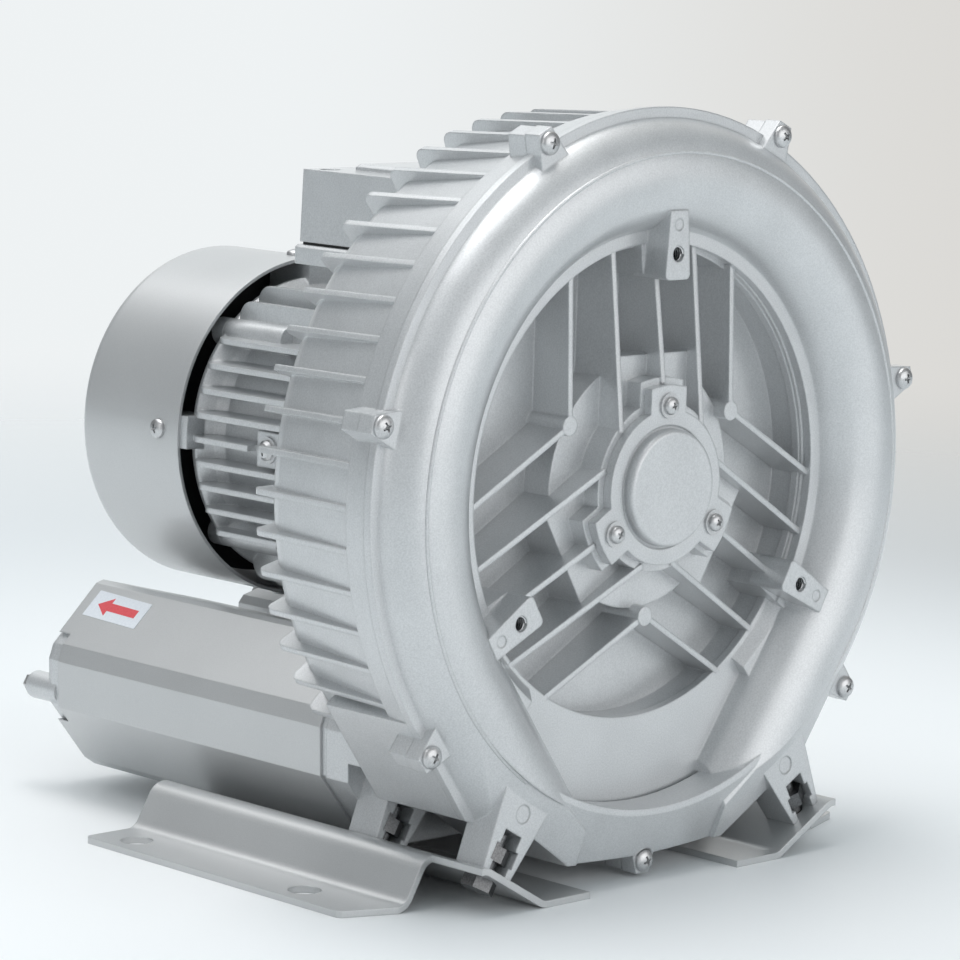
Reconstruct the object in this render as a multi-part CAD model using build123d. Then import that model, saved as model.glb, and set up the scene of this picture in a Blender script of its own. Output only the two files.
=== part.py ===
from build123d import *
import math
import os

# Side channel blower, millimetres.
# Shapes are drawn on the shaft line: x to the right seen from the cover, y back towards the
# motor from the joint face of cover and housing, z up. save() moves them to the row frame,
# whose origin lies on the floor in the middle of the four foot holes.

# Place in the row frame
shaft_height = 171.5
joint_to_feet = 109.35

# Rim of the pump
flange_radius = 161.5
flange_thickness = 4.2
rim_bolts = 7
rim_bolt_radius = flange_radius + 2.5
rim_lug_reach = rim_bolt_radius + 5.7
rim_lug_outer_width = 8.0
rim_lug_inner_width = 19.0
rim_lug_inner_radius = flange_radius - 11.5
cover_lug_depth = 8.5
housing_lug_depth = 10.0
lowest_bolt_angle = 270.0

# Side channel, in the cover and in the housing
tube_radius = 25.2
tube_centre = flange_radius - 28.5
tube_centre_depth = 4.0
crease_radius = tube_centre + 10.0
crease_depth = -18.4
channel_inner = tube_centre - 21.5
channel_outer = tube_centre + 15.4
channel_depth = -17.6
window_radius = tube_centre - 29.0
window_lip = window_radius + 5.3
window_lip_depth = -3.4
window_face_depth = 1.5
floor_back = 4.5
leg_angle = 35.0
leg_length = 112.0
leg_end_x = -43.0
leg_end_round = 8.0
leg_overlap = 4.0
lip_run_on = 18.0
outline_step = 0.4

# Cover inside the window
web_depth = 17.0
web_thickness = 5.0
plateau_radius = 54.5
plateau_depth = 2.0
hub_radius = 37.0
hub_face_depth = -9.8
pad_reach = 56.0
pad_depth = -1.5
tab_block_reach = 47.0
rib_pitch = 24.75
rib_thickness = 2.6
rib_rim_depth = -2.2
rib_hub_depth = -10.8
stud_circle = 57.2
stud_diameter = 8.6
stud_depth = -4.7
pull_lug_circle = window_radius - 4.0
pull_lug_depth = -16.7
pull_thread = 8.0

# Chin between the two legs
chin_wall_radius = tube_centre + 5.5
chin_lip_radius = chin_wall_radius + 3.0
chin_lip_depth = -18.4
chin_base_depth = -8.6

# Foot posts
post_angle = 60.0
post_offset = 6.1
post_tip_width = 17.6
post_root_width = 30.0
post_tip_height = 13.54
post_tip_reach = (shaft_height - post_tip_height) / math.sin(math.radians(post_angle))
post_root_reach = post_tip_reach - 36.4
post_front_depth = -16.5
rear_post_front = 49.0
rear_post_back = 67.0
post_slot_depth = 15.3
foot_thread = 8.0
foot_nut_width = 13.0
foot_nut_height = 6.5

# Housing
housing_radius = flange_radius - 0.7
band_depth = 12.5
panel_radius = housing_radius - 3.8
panel_back_radius = panel_radius - 5.8
panel_back_depth = 63.6
rear_tube_radius = 23.6
rear_tube_centre = tube_centre - 5.0
rear_tube_depth = 57.0
fins_per_bolt = 8
fin_thickness = 2.6
fin_tip_radius = panel_radius - 1.0
fin_tip_depth = 75.3
fin_corner = 5.0
impeller_bore = channel_outer + 0.6
back_web_front = 55.5
back_web_back = 68.0
rear_seal_radius = 26.0
passage_radius = 16.0

# Impeller
impeller_clearance = 0.6
impeller_front = 6.6
impeller_back = 54.6
blade_root_radius = tube_centre - 22.0
impeller_web = 7.0
impeller_hub_radius = 29.0
blade_count = 36
blade_thickness = 2.4

# Shaft and bearings
shaft_start = -8.0
shaft_end = 280.0
front_journal = 12.5
impeller_seat = 15.0
motor_journal = 17.5
rear_journal = 12.5
fan_seat = 11.0
bearing_outer_radius = 31.0
bearing_width = 17.0
ball_count = 7
ball_radius = 5.7
race_radius = 21.75
running_gap = 0.05
rear_outer_radius = 26.0
rear_width = 15.0
rear_ball_radius = 4.5
rear_race_radius = 19.25
spring_thickness = 2.6
key_width = 8.0
key_height = 7.0
seal_width = 7.0

# Bearing cap
cap_radius = 33.6
cap_thickness = 4.5
cap_groove_outer = 26.6
cap_groove_inner = 25.2
cap_disc_rise = 4.5
cap_tab_reach = 44.0
cap_tab_width = 21.5
cap_screw_circle = 35.2
washer_thickness = 1.0

# Motor
frame_back = 217.0
frame_bore = 58.0
frame_wall = 4.0
frame_fin_radius = 75.5
frame_fin_pitch = 11.0
frame_fin_thickness = 2.6
frame_fin_corner = 8.0
frame_lug_width = 15.0
frame_lug_front = 212.0
frame_lug_back = 240.0
frame_flare_radius = 70.0
frame_fins_front = back_web_back + 24.0
shield_screw_offset = 3.5
motor_bolt_circle = 71.0
earth_y = 163.0
earth_reach = 70.5
stator_bore = 35.5
air_gap = 0.5
core_front = 108.0
core_back = 192.0
winding_overhang = 18.0
slot_count = 24
shield_back = 236.0
cowl_radius = 78.9
cowl_front = 216.6
cowl_back = 289.0
cowl_sheet = 1.5
cowl_rear_round = 7.0
cowl_screw_depth = 230.5
cowl_screw_turn = -1.9
grille_rings = 6
grille_first = 14.0
grille_pitch = 9.5
grille_slot = 5.5
fan_front = 246.0
fan_back = 278.0
fan_radius = 72.0
fan_blades = 9

# Terminal box
box_half_width = 54.0
box_base_half_width = 57.0
box_front = 84.0
box_back = 164.0
box_floor = 83.0
box_joint = 91.5
box_top = 125.0
box_draft = 0.6
box_neck = 26.0
lid_screw_inset = 9.0
lid_screw_sink = 3.4
box_panel_rise = 3.0
gasket_thickness = 1.2
gland_thread = 20.0
gland_boss = 12.8

# Silencers
shell_front = 84.0
shell_back = 274.0
shell_side_back = 266.0
shell_sheet = 1.6
shell_gap = 1.2
silencer_end = 279.0
cap_insert = 10.0
port_x = -58.0
port_z = -118.0
port_bore = 56.6
port_mouth = 287.0
liner_gap = 3.7
nose_x = -99.0
nose_z = -123.5
nose_radius = 6.5
nose_end = 292.5
tie_bolt_places = [(-28.0, -92.0, silencer_end), (-16.5, -150.0, silencer_end), (nose_x, nose_z, nose_end)]
tie_bolt_radius = 2.45

# Foot brackets
plate = 3.0
bracket_hole_x = 140.5
bracket_front_hole = 53.5
bracket_bend = 8.0
bracket_hole_diameter = 14.5
outer_flange_edge = 153.3
web_foot_x = 124.5
ridge_x = 112.0
inner_flange_edge = 46.0
bracket_wing_front = -22.0
bracket_flange_front = 18.0
bracket_back = 185.5

# Values that follow from the ones above
crest_depth = tube_centre_depth - tube_radius
rim_angles = [lowest_bolt_angle + 360.0 / rim_bolts * i for i in range(rim_bolts)]
hub_angles = [90.0, 210.0, 330.0]
side_signs = [-1, 1]
wing_reach = post_tip_reach
wing_under = wing_reach + plate
rear_hole_y = 2 * joint_to_feet - bracket_front_hole
cap_back_depth = hub_face_depth
cap_front_depth = cap_back_depth - cap_thickness
spring_front = cap_back_depth
bearing_front = spring_front + spring_thickness
bearing_back = bearing_front + bearing_width
rear_bearing_front = shield_back - rear_width - 2.0
foot_bolt_depths = [post_front_depth + 7.7, rear_post_front + 7.7]
hub_front = bearing_back + 14.0
key_from = hub_front + 3.0
key_to = impeller_back - 3.0
web_front = (impeller_front + impeller_back - impeller_web) / 2
hub_quarters = [0, 90, 180, 270]
corner_angles = [45.0, 135.0, 225.0, 315.0]
shield_screw_circle = frame_bore + frame_wall + shield_screw_offset
lid_screw_places = [(x, y) for x in (lid_screw_inset - box_half_width, box_half_width - lid_screw_inset)
                    for y in (box_front + lid_screw_inset, box_back - lid_screw_inset)]
gland_y = (box_front + box_back) / 2
gland_z = (box_joint + gasket_thickness + box_top - 3.0) / 2
liner_bore = port_bore / 2 + liner_gap


def save(name, shape):
    placed = Pos(0, -joint_to_feet, shaft_height) * shape
    placed.label = name
    export_step(placed, "parts/" + name + ".step")


def slab(points, y_from, y_to):
    face = make_face(Polyline(*points, close=True))
    return extrude(Plane.XZ.offset(-y_from) * face, -(y_to - y_from))


def block(x_from, x_to, y_from, y_to, z_from, z_to):
    centre = Pos((x_from + x_to) / 2, (y_from + y_to) / 2, (z_from + z_to) / 2)
    return centre * Box(x_to - x_from, y_to - y_from, z_to - z_from)


def rod(x, z, radius, y_from, y_to):
    return Pos(x, (y_from + y_to) / 2, z) * Rot(90, 0, 0) * Cylinder(radius, y_to - y_from)


def tube(outer, inner, y_from, y_to):
    return rod(0, 0, outer, y_from, y_to) - rod(0, 0, inner, y_from - 1, y_to + 1)


def hexagon_rod(width, y_from, y_to):
    outline = RegularPolygon(width / math.sqrt(3), 6)
    return extrude(Plane.XZ.offset(-y_from) * outline, -(y_to - y_from))


def turned(points):
    return revolve(make_face(Polyline(*points, close=True)), Axis.Y)


def around(shape, angle):
    return Rot(0, -angle, 0) * shape


def polar(radius, angle):
    a = math.radians(angle)
    return radius * math.cos(a), radius * math.sin(a)


def mirrored(shape):
    return mirror(shape, about=Plane.YZ)


def from_post(reach, across):
    # a point given along the left post and across it, as x and z
    a = math.radians(180.0 + post_angle)
    x = reach * math.cos(a) - across * math.sin(a)
    z = reach * math.sin(a) + across * math.cos(a)
    return x, z


def rim_lug(y_from, y_to, reach_cut=0.0):
    reach = rim_lug_reach - reach_cut
    low = rim_lug_inner_width / 2
    high = rim_lug_outer_width / 2
    points = [(rim_lug_inner_radius, -low), (reach, -high), (reach, high), (rim_lug_inner_radius, low)]
    return slab(points, y_from, y_to)


def foot_post(y_from, y_to, root_reach):
    wide = post_root_width / 2
    tip = post_tip_width / 2
    grow = (wide - tip) * (post_tip_reach - root_reach) / (post_tip_reach - post_root_reach)
    points = [from_post(post_tip_reach, -post_offset - tip), from_post(post_tip_reach, -post_offset + tip),
              from_post(root_reach, -post_offset + tip + grow), from_post(root_reach,
                                                                          -post_offset - tip - grow)]
    return slab(points, y_from, y_to)


def post_slot(y_from, y_to):
    shank = foot_thread / 2 + 1.3
    nut = foot_nut_width / 2 + 0.6
    nut_low = post_tip_reach - 5.0
    nut_high = nut_low - foot_nut_height - 1.0
    narrow = [from_post(post_tip_reach + 2, -post_offset - shank), from_post(post_tip_reach + 2,
                                                                             -post_offset + shank),
              from_post(post_tip_reach - 19, -post_offset + shank), from_post(post_tip_reach - 19,
                                                                              -post_offset - shank)]
    wide = [from_post(nut_low, -post_offset - nut), from_post(nut_low, -post_offset + nut),
            from_post(nut_high, -post_offset + nut), from_post(nut_high, -post_offset - nut)]
    return slab(narrow, y_from, y_to) + slab(wide, y_from, y_to)


def lower_outline():
    # front view of the straight legs and the chin below them, left half then right half
    tangent = math.radians(180.0 + leg_angle)

    def on_leg(reach, down):
        return (reach * math.cos(tangent) - down * math.sin(tangent),
                reach * math.sin(tangent) + down * math.cos(tangent))

    inside = on_leg(window_radius - 6.0, -leg_overlap)
    start = on_leg(flange_radius - outline_step, -leg_overlap)
    end = on_leg(flange_radius - outline_step, 50.0)
    left = [(0.0, -window_radius + 2.0), inside, start, end, from_post(flange_radius - 1.5, 8.0),
            (-47.8, -flange_radius + 1.8), (-25.0, -flange_radius + 0.9), (0.0, -flange_radius)]
    right = [(-x, z) for x, z in reversed(left[1:-1])]
    return left + right


def tube_arc_depth(radius):
    return tube_centre_depth - math.sqrt(tube_radius ** 2 - (radius - tube_centre) ** 2)


def tube_section(with_lip):
    # outer wall of the cover's channel as a closed face, its radius measured from the shaft
    root = flange_radius - 4.6
    shoulder = tube_centre + 18.5
    crest = tube_centre - 8.0
    foot = tube_centre - math.sqrt(tube_radius ** 2 - (tube_centre_depth - window_face_depth) ** 2)
    inner_end = (window_lip, window_lip_depth) if with_lip else (foot, window_face_depth)
    inner_edge = impeller_bore - 1.0
    line = Polyline((root, 0), (root, -flange_thickness))
    outer = ThreePointArc((root, -flange_thickness), (shoulder, tube_arc_depth(shoulder)), (crease_radius,
                                                                                            crease_depth))
    inner = ThreePointArc((crease_radius, crease_depth), (crest, tube_arc_depth(crest) + 0.6), inner_end)
    close = Polyline(inner_end, (window_radius, window_face_depth), (window_radius, floor_back),
                     (inner_edge, floor_back), (inner_edge, 0), (root, 0))
    return make_face([line, outer, inner, close])


def legs_of(face, length):
    # the channel face swept straight down from the ends of the ring, left and right
    straight = extrude(face, length, dir=(0, 0, -1))
    left = around(mirrored(straight), leg_angle)
    return left + mirrored(left)


def ring_of(face, from_angle, to_angle):
    span = to_angle - from_angle
    solid = revolve(face, Axis.Y, span)
    return around(solid, to_angle)


def cover():
    open_half = 90.0 + leg_angle
    ring = ring_of(tube_section(True), 90.0 - open_half, 90.0 + open_half)
    legs = legs_of(tube_section(False), leg_length)
    leg_end = block(-200, leg_end_x, crest_depth, 10, -200, 0)
    leg_end = fillet(leg_end.edges().filter_by(Axis.Z).sort_by(Axis.X)[-2:].sort_by(Axis.Y)[0],
                     leg_end_round)
    legs &= leg_end + mirrored(leg_end)
    flank = turned([(crease_radius, crease_depth - 0.2), (crease_radius + 9.0, crease_depth + 2.9),
                    (crease_radius + 27.0, crease_depth + 9.9), (crease_radius + 27.0,
                                                                 -60.0), (crease_radius, -60.0)])
    legs -= flank
    lip = make_face(Polyline((window_radius, floor_back), (window_radius, window_face_depth), (window_lip,
                                                                                               window_lip_depth),
                             (window_lip + 6.0, window_lip_depth), (window_lip + 6.0,
                                                                    floor_back), close=True))
    run_on = ring_of(lip, 180.0 + leg_angle - 1.0, 180.0 + leg_angle + lip_run_on)
    flange = rod(0, 0, flange_radius, -flange_thickness, 0)
    flange -= rod(0, 0, window_radius, -50, 50)
    floor = turned([(window_radius - 2, window_face_depth), (chin_wall_radius + 8, window_face_depth),
                    (chin_wall_radius + 8, floor_back + 1), (window_radius - 2, floor_back + 1)])
    flange -= slab([(0, 0), (-400, -400 * math.tan(math.radians(leg_angle))), (-400, -700), (400, -700),
                    (400, -400 * math.tan(math.radians(leg_angle)))], -50, 0)
    outline = slab(lower_outline(), -60, 0)
    chin_roof = turned([(chin_wall_radius, 0), (chin_wall_radius, chin_lip_depth), (chin_lip_radius,
                                                                                    chin_lip_depth),
                        (flange_radius + 0.5, chin_base_depth), (flange_radius + 13.5,
                                                                 chin_base_depth + 5.0),
                        (flange_radius + 13.5, 0)])
    chin_sector = slab([(-88.0, -105), (-88.0, -175), (88.0, -175), (88.0, -105)], -60, 0)
    chin = chin_roof & outline & chin_sector
    leg_flange = outline & slab([(-200, -84), (-200, -200), (200, -200), (200, -84)], -flange_thickness, 0)
    leg_flange -= rod(0, 0, chin_wall_radius, -60, 10)
    leg_trim = slab(lower_outline(), -60, 30)
    bottom_side = slab([(-300, 0), (-300, -400), (300, -400), (300, 0)], -60, 30)
    legs = legs - (bottom_side - leg_trim)
    wall = turned([(window_radius, window_face_depth), (window_radius - 2.1, web_depth),
                   (window_radius - 2.1, web_depth + web_thickness), (window_radius + 0.6,
                                                                      web_depth + web_thickness),
                   (window_radius + 1.6, floor_back), (window_radius + 1.6, window_face_depth)])
    web = tube(window_radius, 30.0, web_depth, web_depth + web_thickness)
    body = ring + legs + run_on + mirrored(run_on) + flange + floor + chin + leg_flange + wall + web
    return body - tube(400.0, impeller_bore - 0.6, 0, 50)


def rib_inner(k):
    # the outer ribs start at the studs, the next ones at the hub, the middle one at the cap's tab
    if abs(k) == 2:
        return stud_circle * math.cos(math.radians(60))
    if abs(k) == 1:
        return math.sqrt((cap_radius + 0.3) ** 2 - (rib_pitch - rib_thickness / 2) ** 2)
    return cap_tab_reach + 0.3


def cover_inside(body):
    plateau = tube(plateau_radius, 30.0, plateau_depth, web_depth + 1)
    hub = tube(hub_radius, 20.0, hub_face_depth, web_depth + web_thickness)
    pieces = [plateau, hub]
    for angle in hub_angles:
        pad = block(20, pad_reach, pad_depth, web_depth + 1, -rib_pitch, rib_pitch)
        tab = block(20, tab_block_reach, hub_face_depth, web_depth + 1, -13.0, 13.0)
        tab &= rod(0, 0, tab_block_reach, -60, 60)
        pieces += [around(pad, angle), around(tab, angle)]
        for k in range(-2, 3):
            offset = k * rib_pitch
            outer = math.sqrt((window_radius + 0.5) ** 2 - offset ** 2)
            inner = rib_inner(k)
            hub_depth = stud_depth if abs(k) == 2 else rib_hub_depth
            end_angle = angle + math.degrees(math.atan2(offset, outer))
            below = 180.0 + leg_angle < end_angle % 360.0 < 360.0 - leg_angle
            rim_depth = window_face_depth if below else rib_rim_depth
            rib = make_face(Polyline((inner, web_depth + 1), (inner, hub_depth), (outer, rim_depth),
                                     (outer, web_depth + 1), close=True))
            rib = Pos(0, 0, offset - rib_thickness / 2) * extrude(rib, rib_thickness)
            pieces.append(around(rib, angle))
        low = 7.5
        near = pull_lug_circle - 11.0
        far = pull_lug_circle + 18.5
        lug = slab([(near, -low), (far, -5.4), (far, 5.4), (near, low)], pull_lug_depth, 3.0)
        lug = fillet(lug.edges().filter_by(Axis.Y).sort_by(Axis.X)[:2], 2.4)
        foot = slab([(near + 1.5, -low), (window_radius + 0.5, -9.0), (window_radius + 0.5, 9.0),
                     (near + 1.5, low)],
                    window_lip_depth, web_depth + 1)
        pieces += [around(lug, angle), around(foot, angle)]
        x, z = polar(stud_circle, angle + 60)
        pieces.append(rod(x, z, stud_diameter / 2, stud_depth, web_depth + 1))
    body = body + pieces
    bore = rod(0, 0, bearing_outer_radius, hub_face_depth - 1, bearing_back)
    bore += rod(0, 0, 25.0, bearing_back - 1, bearing_back + 2.0)
    bore += rod(0, 0, 23.5, bearing_back + 1, 60)
    body -= bore
    for angle in hub_angles:
        x, z = polar(pull_lug_circle, angle)
        body -= rod(x, z, pull_thread / 2 - 0.6, pull_lug_depth - 1, pull_lug_depth + 18)
        x, z = polar(pull_lug_circle + 12.5, angle)
        body -= rod(x, z, 2.6, pull_lug_depth - 1, pull_lug_depth + 0.5)
        x, z = polar(cap_screw_circle, angle)
        body -= rod(x, z, 2.0, hub_face_depth - 1, hub_face_depth + 12)
    return body


def make_cover():
    body = cover()
    lugs = [around(rim_lug(-cover_lug_depth, 0), a) for a in rim_angles]
    body = body + lugs
    body = cover_inside(body)
    post = foot_post(post_front_depth, 0, post_root_reach - 8.0)
    body = body + [post, mirrored(post)]
    slot = post_slot(post_front_depth - 1, post_front_depth + post_slot_depth)
    x, z = from_post(post_tip_reach - 28.0, -post_offset + 1.0)
    slot += rod(x, z, 4.0, post_front_depth - 1, post_front_depth + 0.6)
    body = body - slot - mirrored(slot)
    channel = make_face([ThreePointArc((channel_inner, 0), (tube_centre, channel_depth), (channel_outer,
                                                                                          0)),
                         Polyline((channel_outer, 0), (channel_outer, 7.0), (channel_inner, 7.0),
                                  (channel_inner, 0))])
    body -= ring_of(channel, -leg_angle, 180.0 + leg_angle)
    for angle in rim_angles:
        x, z = polar(rim_bolt_radius, angle)
        body -= rod(x, z, 2.6, -20, 5)
        body -= rod(x, z, 5.6, -30, -cover_lug_depth)
    return body


def make_housing():
    outer = make_face([
        Polyline((rear_seal_radius, 20.0), (rear_seal_radius, back_web_back), (rear_tube_centre - 28.0,
                                                                               back_web_back),
                 (rear_tube_centre - 23.5, back_web_back - 3)),
        ThreePointArc((rear_tube_centre - 23.5, back_web_back - 3), (rear_tube_centre - 17.0, 73.4),
                      (rear_tube_centre, rear_tube_depth + rear_tube_radius)),
        ThreePointArc((rear_tube_centre, rear_tube_depth + rear_tube_radius), (rear_tube_centre + 16.9,
                                                                               73.5),
                      (panel_back_radius, panel_back_depth)),
        Polyline((panel_back_radius, panel_back_depth), (panel_radius, band_depth + 1.5),
                 (housing_radius - 1.2, band_depth), (housing_radius, 0), (housing_radius - 20.8, 0),
                 (housing_radius - 20.8, 20.0), (rear_seal_radius, 20.0))])
    body = revolve(outer, Axis.Y)
    step = 360.0 / rim_bolts / fins_per_bolt
    first = lowest_bolt_angle + 360.0 / rim_bolts
    count = fins_per_bolt * (rim_bolts - 2) + 1
    root = rear_tube_centre - 10.0
    profile = Polyline((root, 60.0), (root, fin_tip_depth), (fin_tip_radius, fin_tip_depth),
                       (panel_radius + 1.3, band_depth), (panel_radius - 17.0, band_depth), close=True)
    fin = Pos(0, 0, -fin_thickness / 2) * extrude(make_face(profile), fin_thickness)
    corner = fin.edges().filter_by(Axis.Z).sort_by(lambda e: -(e.center().X + e.center().Y))[0]
    fin = fillet(corner, fin_corner)
    pieces = [around(fin, first + step * i) for i in range(count)]
    pieces += [around(rim_lug(0, housing_lug_depth, 0.6), a) for a in rim_angles]
    pieces += [slab(lower_outline(), 0, 50.0)]
    left = slab(silencer_outline(0), rear_post_back - 1.0, shell_front - 4.0)
    left += slab(silencer_outline(shell_gap), shell_front - 4.0, shell_front)
    left += slab(silencer_outline(0), rear_post_front, rear_post_back) - block(
        -300, 300, 0, 100, -300, port_z - 3.0)
    pieces += [left, mirrored(left)]
    post = foot_post(rear_post_front, rear_post_back, post_root_reach + 4.0)
    pieces += [post, mirrored(post)]
    body = body + pieces
    slot = post_slot(rear_post_front - 3, rear_post_front + post_slot_depth)
    body = body - slot - mirrored(slot)
    low = blade_root_radius - 1.5
    passage = make_face([Polyline((low, back_web_front), (30.0, back_web_front), (0.0, back_web_front),
                                  (0.0, -5.0), (impeller_bore, -5.0), (impeller_bore, back_web_front)),
                         ThreePointArc((impeller_bore, back_web_front), ((impeller_bore + low) / 2, 74.5),
                                       (low, back_web_front))])
    body -= revolve(passage, Axis.Y)
    for angle in rim_angles:
        x, z = polar(rim_bolt_radius, angle)
        body -= rod(x, z, 1.95, -1, housing_lug_depth - 1.0)
    for side in side_signs:
        body -= rod(side * port_x, port_z, passage_radius, back_web_front, shell_front + 1)
        for x, z, seat in tie_bolt_places:
            body -= rod(side * x, z, tie_bolt_radius + 0.05, shell_front - 14.0, shell_front + 1)
    for angle in corner_angles:
        x, z = polar(motor_bolt_circle, angle)
        body -= rod(x, z, 3.4, back_web_back - 10.0, back_web_back + 1)
    return body


def silencer_outline(inset):
    # left silencer seen from the front, in x and z
    points = [(-9.0, -93.0), (-9.0, -157.5), (-12.5, -161.0), (-78.0, -161.0), (-84.0, -157.0),
              (-106.0, -129.5), (-106.8, -108.0), (-104.0, -100.0), (-78.5, -75.0), (-74.5, -73.8),
              (-12.0, -89.5)]
    if inset == 0:
        return points
    centre_x = -58.0
    centre_z = -118.0
    moved = []
    for i, (x, z) in enumerate(points):
        before = points[i - 1]
        after = points[(i + 1) % len(points)]
        moved.append(offset_corner(before, (x, z), after, inset, (centre_x, centre_z)))
    return moved


def offset_corner(before, here, after, inset, centre):
    def inward(a, b):
        length = math.hypot(b[0] - a[0], b[1] - a[1])
        nx, nz = -(b[1] - a[1]) / length, (b[0] - a[0]) / length
        if nx * (centre[0] - a[0]) + nz * (centre[1] - a[1]) < 0:
            nx, nz = -nx, -nz
        return nx, nz

    n1 = inward(before, here)
    n2 = inward(here, after)
    turn = 1 + n1[0] * n2[0] + n1[1] * n2[1]
    return (here[0] + inset * (n1[0] + n2[0]) / turn, here[1] + inset * (n1[1] + n2[1]) / turn)


def pan_head(radius, height, y_face, cross):
    # a domed head with a cross recess, its face on y_face and its top towards the front
    head = turned([(0, y_face), (radius, y_face), (radius, y_face - 0.35 * height),
                   (0.72 * radius, y_face - 0.85 * height), (0.3 * radius, y_face - height), (0,
                                                                                              y_face - height)])
    for size in [(cross, 0.9), (0.9, cross)]:
        arm = block(-size[0] / 2, size[0] / 2, y_face - height - 1, y_face - 0.35 * height, -size[1] / 2,
                    size[1] / 2)
        head -= arm
    return head


def rim_screws():
    screws = []
    for i, angle in enumerate(rim_angles):
        head = pan_head(5.0, 2.6, -cover_lug_depth, 5.2)
        shank = rod(0, 0, 1.9, -cover_lug_depth, housing_lug_depth - 2.0)
        x, z = polar(rim_bolt_radius, angle)
        screws.append(Pos(x, 0, z) * around(head + shank, 20.0 + 37.0 * i))
    return Compound(screws)


def cap_outline(width, reach, radius, y_from, y_to):
    body = rod(0, 0, radius, y_from, y_to)
    for angle in hub_angles:
        tab = block(0, reach, y_from, y_to, -width / 2, width / 2) & rod(0, 0, reach, y_from, y_to)
        body += around(tab, angle)
    return body


def bearing_cap():
    body = cap_outline(cap_tab_width, cap_tab_reach, cap_radius, cap_front_depth, cap_back_depth)
    groove = tube(cap_groove_outer, cap_groove_inner, cap_front_depth - 1, cap_front_depth + 0.9)
    disc = rod(0, 0, cap_groove_inner, cap_front_depth - cap_disc_rise, cap_front_depth + 1)
    disc = fillet(disc.edges().sort_by(Axis.Y)[0], 1.8)
    body = body - groove + disc
    for angle in hub_angles:
        x, z = polar(cap_screw_circle, angle)
        body -= rod(x, z, 2.4, cap_front_depth - 1, cap_back_depth + 1)
    return body


def cap_washers():
    rings = []
    for angle in hub_angles:
        x, z = polar(cap_screw_circle, angle)
        ring = tube(5.6, 2.2, cap_front_depth - washer_thickness, cap_front_depth)
        rings.append(Pos(x, 0, z) * ring)
    return Compound(rings)


def cap_screws():
    screws = []
    seat = cap_front_depth - washer_thickness
    for i, angle in enumerate(hub_angles):
        screw = pan_head(3.9, 2.6, seat, 4.4) + rod(0, 0, 1.95, seat, hub_face_depth + 11.0)
        x, z = polar(cap_screw_circle, angle)
        screws.append(Pos(x, 0, z) * around(screw, 15.0 + 50.0 * i))
    return Compound(screws)


def wave_spring():
    ring = tube(bearing_outer_radius - 0.5, bearing_outer_radius - 4.5, spring_front, bearing_front)
    return ring


def race(outer, inner, y_from, y_to, ball_circle, ball):
    groove = Pos(0, (y_from + y_to) / 2, 0) * Rot(90, 0, 0) * Torus(ball_circle, ball + running_gap)
    return tube(outer, inner, y_from, y_to) - groove


def balls_and_cage(ball_circle, ball, count, y_middle):
    pieces = [tube(ball_circle + 0.45 * ball, ball_circle - 0.45 * ball, y_middle - 0.75 * ball,
                   y_middle + 0.75 * ball)]
    ball_shape = Pos(ball_circle, y_middle, 0) * Rot(0, 0, 90) * Sphere(ball)
    for i in range(count):
        pieces.append(around(ball_shape, 360.0 / count * i))
    body = pieces[0]
    for piece in pieces[1:]:
        body = body + piece
    return body


def bearing(outer, bore, width, front, ball_circle, ball):
    back = front + width
    shoulder_out = ball_circle + 0.5 * ball
    shoulder_in = ball_circle - 0.5 * ball
    return (race(outer, shoulder_out, front, back, ball_circle, ball),
            race(shoulder_in, bore, front, back, ball_circle, ball),
            balls_and_cage(ball_circle, ball, ball_count, (front + back) / 2))


def motor_shaft():
    key_bottom = impeller_seat - key_height * 0.55
    sections = [(front_journal, shaft_start, bearing_back), (impeller_seat, bearing_back, impeller_back),
                (motor_journal, impeller_back, core_back + 8.0), (motor_journal - 2.5, core_back + 8.0,
                                                                  rear_bearing_front),
                (rear_journal, rear_bearing_front, rear_bearing_front + rear_width + 1.5),
                (fan_seat, rear_bearing_front + rear_width + 1.5, shaft_end)]
    body = [rod(0, 0, radius, y_from, y_to) for radius, y_from, y_to in sections]
    shaft = body[0] + body[1:]
    shaft = chamfer(shaft.edges().filter_by(GeomType.CIRCLE).sort_by(Axis.Y)[-1], 1.0)
    slot = block(-key_width / 2, key_width / 2, key_from, key_to, key_bottom, impeller_seat + 1)
    return shaft - slot


def impeller_key():
    key_bottom = impeller_seat - key_height * 0.55
    return block(-key_width / 2, key_width / 2, key_from, key_to, key_bottom, key_bottom + key_height)


def impeller():
    hub = turned([(impeller_seat, hub_front), (impeller_hub_radius, hub_front), (impeller_hub_radius + 3,
                                                                                 hub_front + 5),
                  (blade_root_radius - 6, web_front), (blade_root_radius - 3, impeller_front + 2),
                  (blade_root_radius, impeller_front), (blade_root_radius, impeller_back),
                  (blade_root_radius - 3, impeller_back - 2), (blade_root_radius - 6,
                                                               web_front + impeller_web),
                  (impeller_hub_radius + 3, impeller_back - 6), (impeller_hub_radius, impeller_back),
                  (impeller_seat, impeller_back)])
    tip = impeller_bore - impeller_clearance
    middle = (impeller_front + impeller_back) / 2
    divider = tube(tip - 0.4, blade_root_radius - 1, middle - 1.5, middle + 1.5)
    flat_tip = math.sqrt(tip ** 2 - (blade_thickness / 2) ** 2)
    blade = block(blade_root_radius - 1.5, flat_tip, impeller_front, impeller_back, -blade_thickness / 2,
                  blade_thickness / 2)
    blades = [around(blade, 360.0 / blade_count * i) for i in range(blade_count)]
    body = hub + ([divider] + blades)
    top = impeller_seat - key_height * 0.55 + key_height + 0.2
    return body - block(-key_width / 2, key_width / 2, hub_front - 1, impeller_back + 1, 0, top)


def impeller_spacer():
    return tube(impeller_seat + 3.0, impeller_seat, bearing_back, hub_front)


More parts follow.
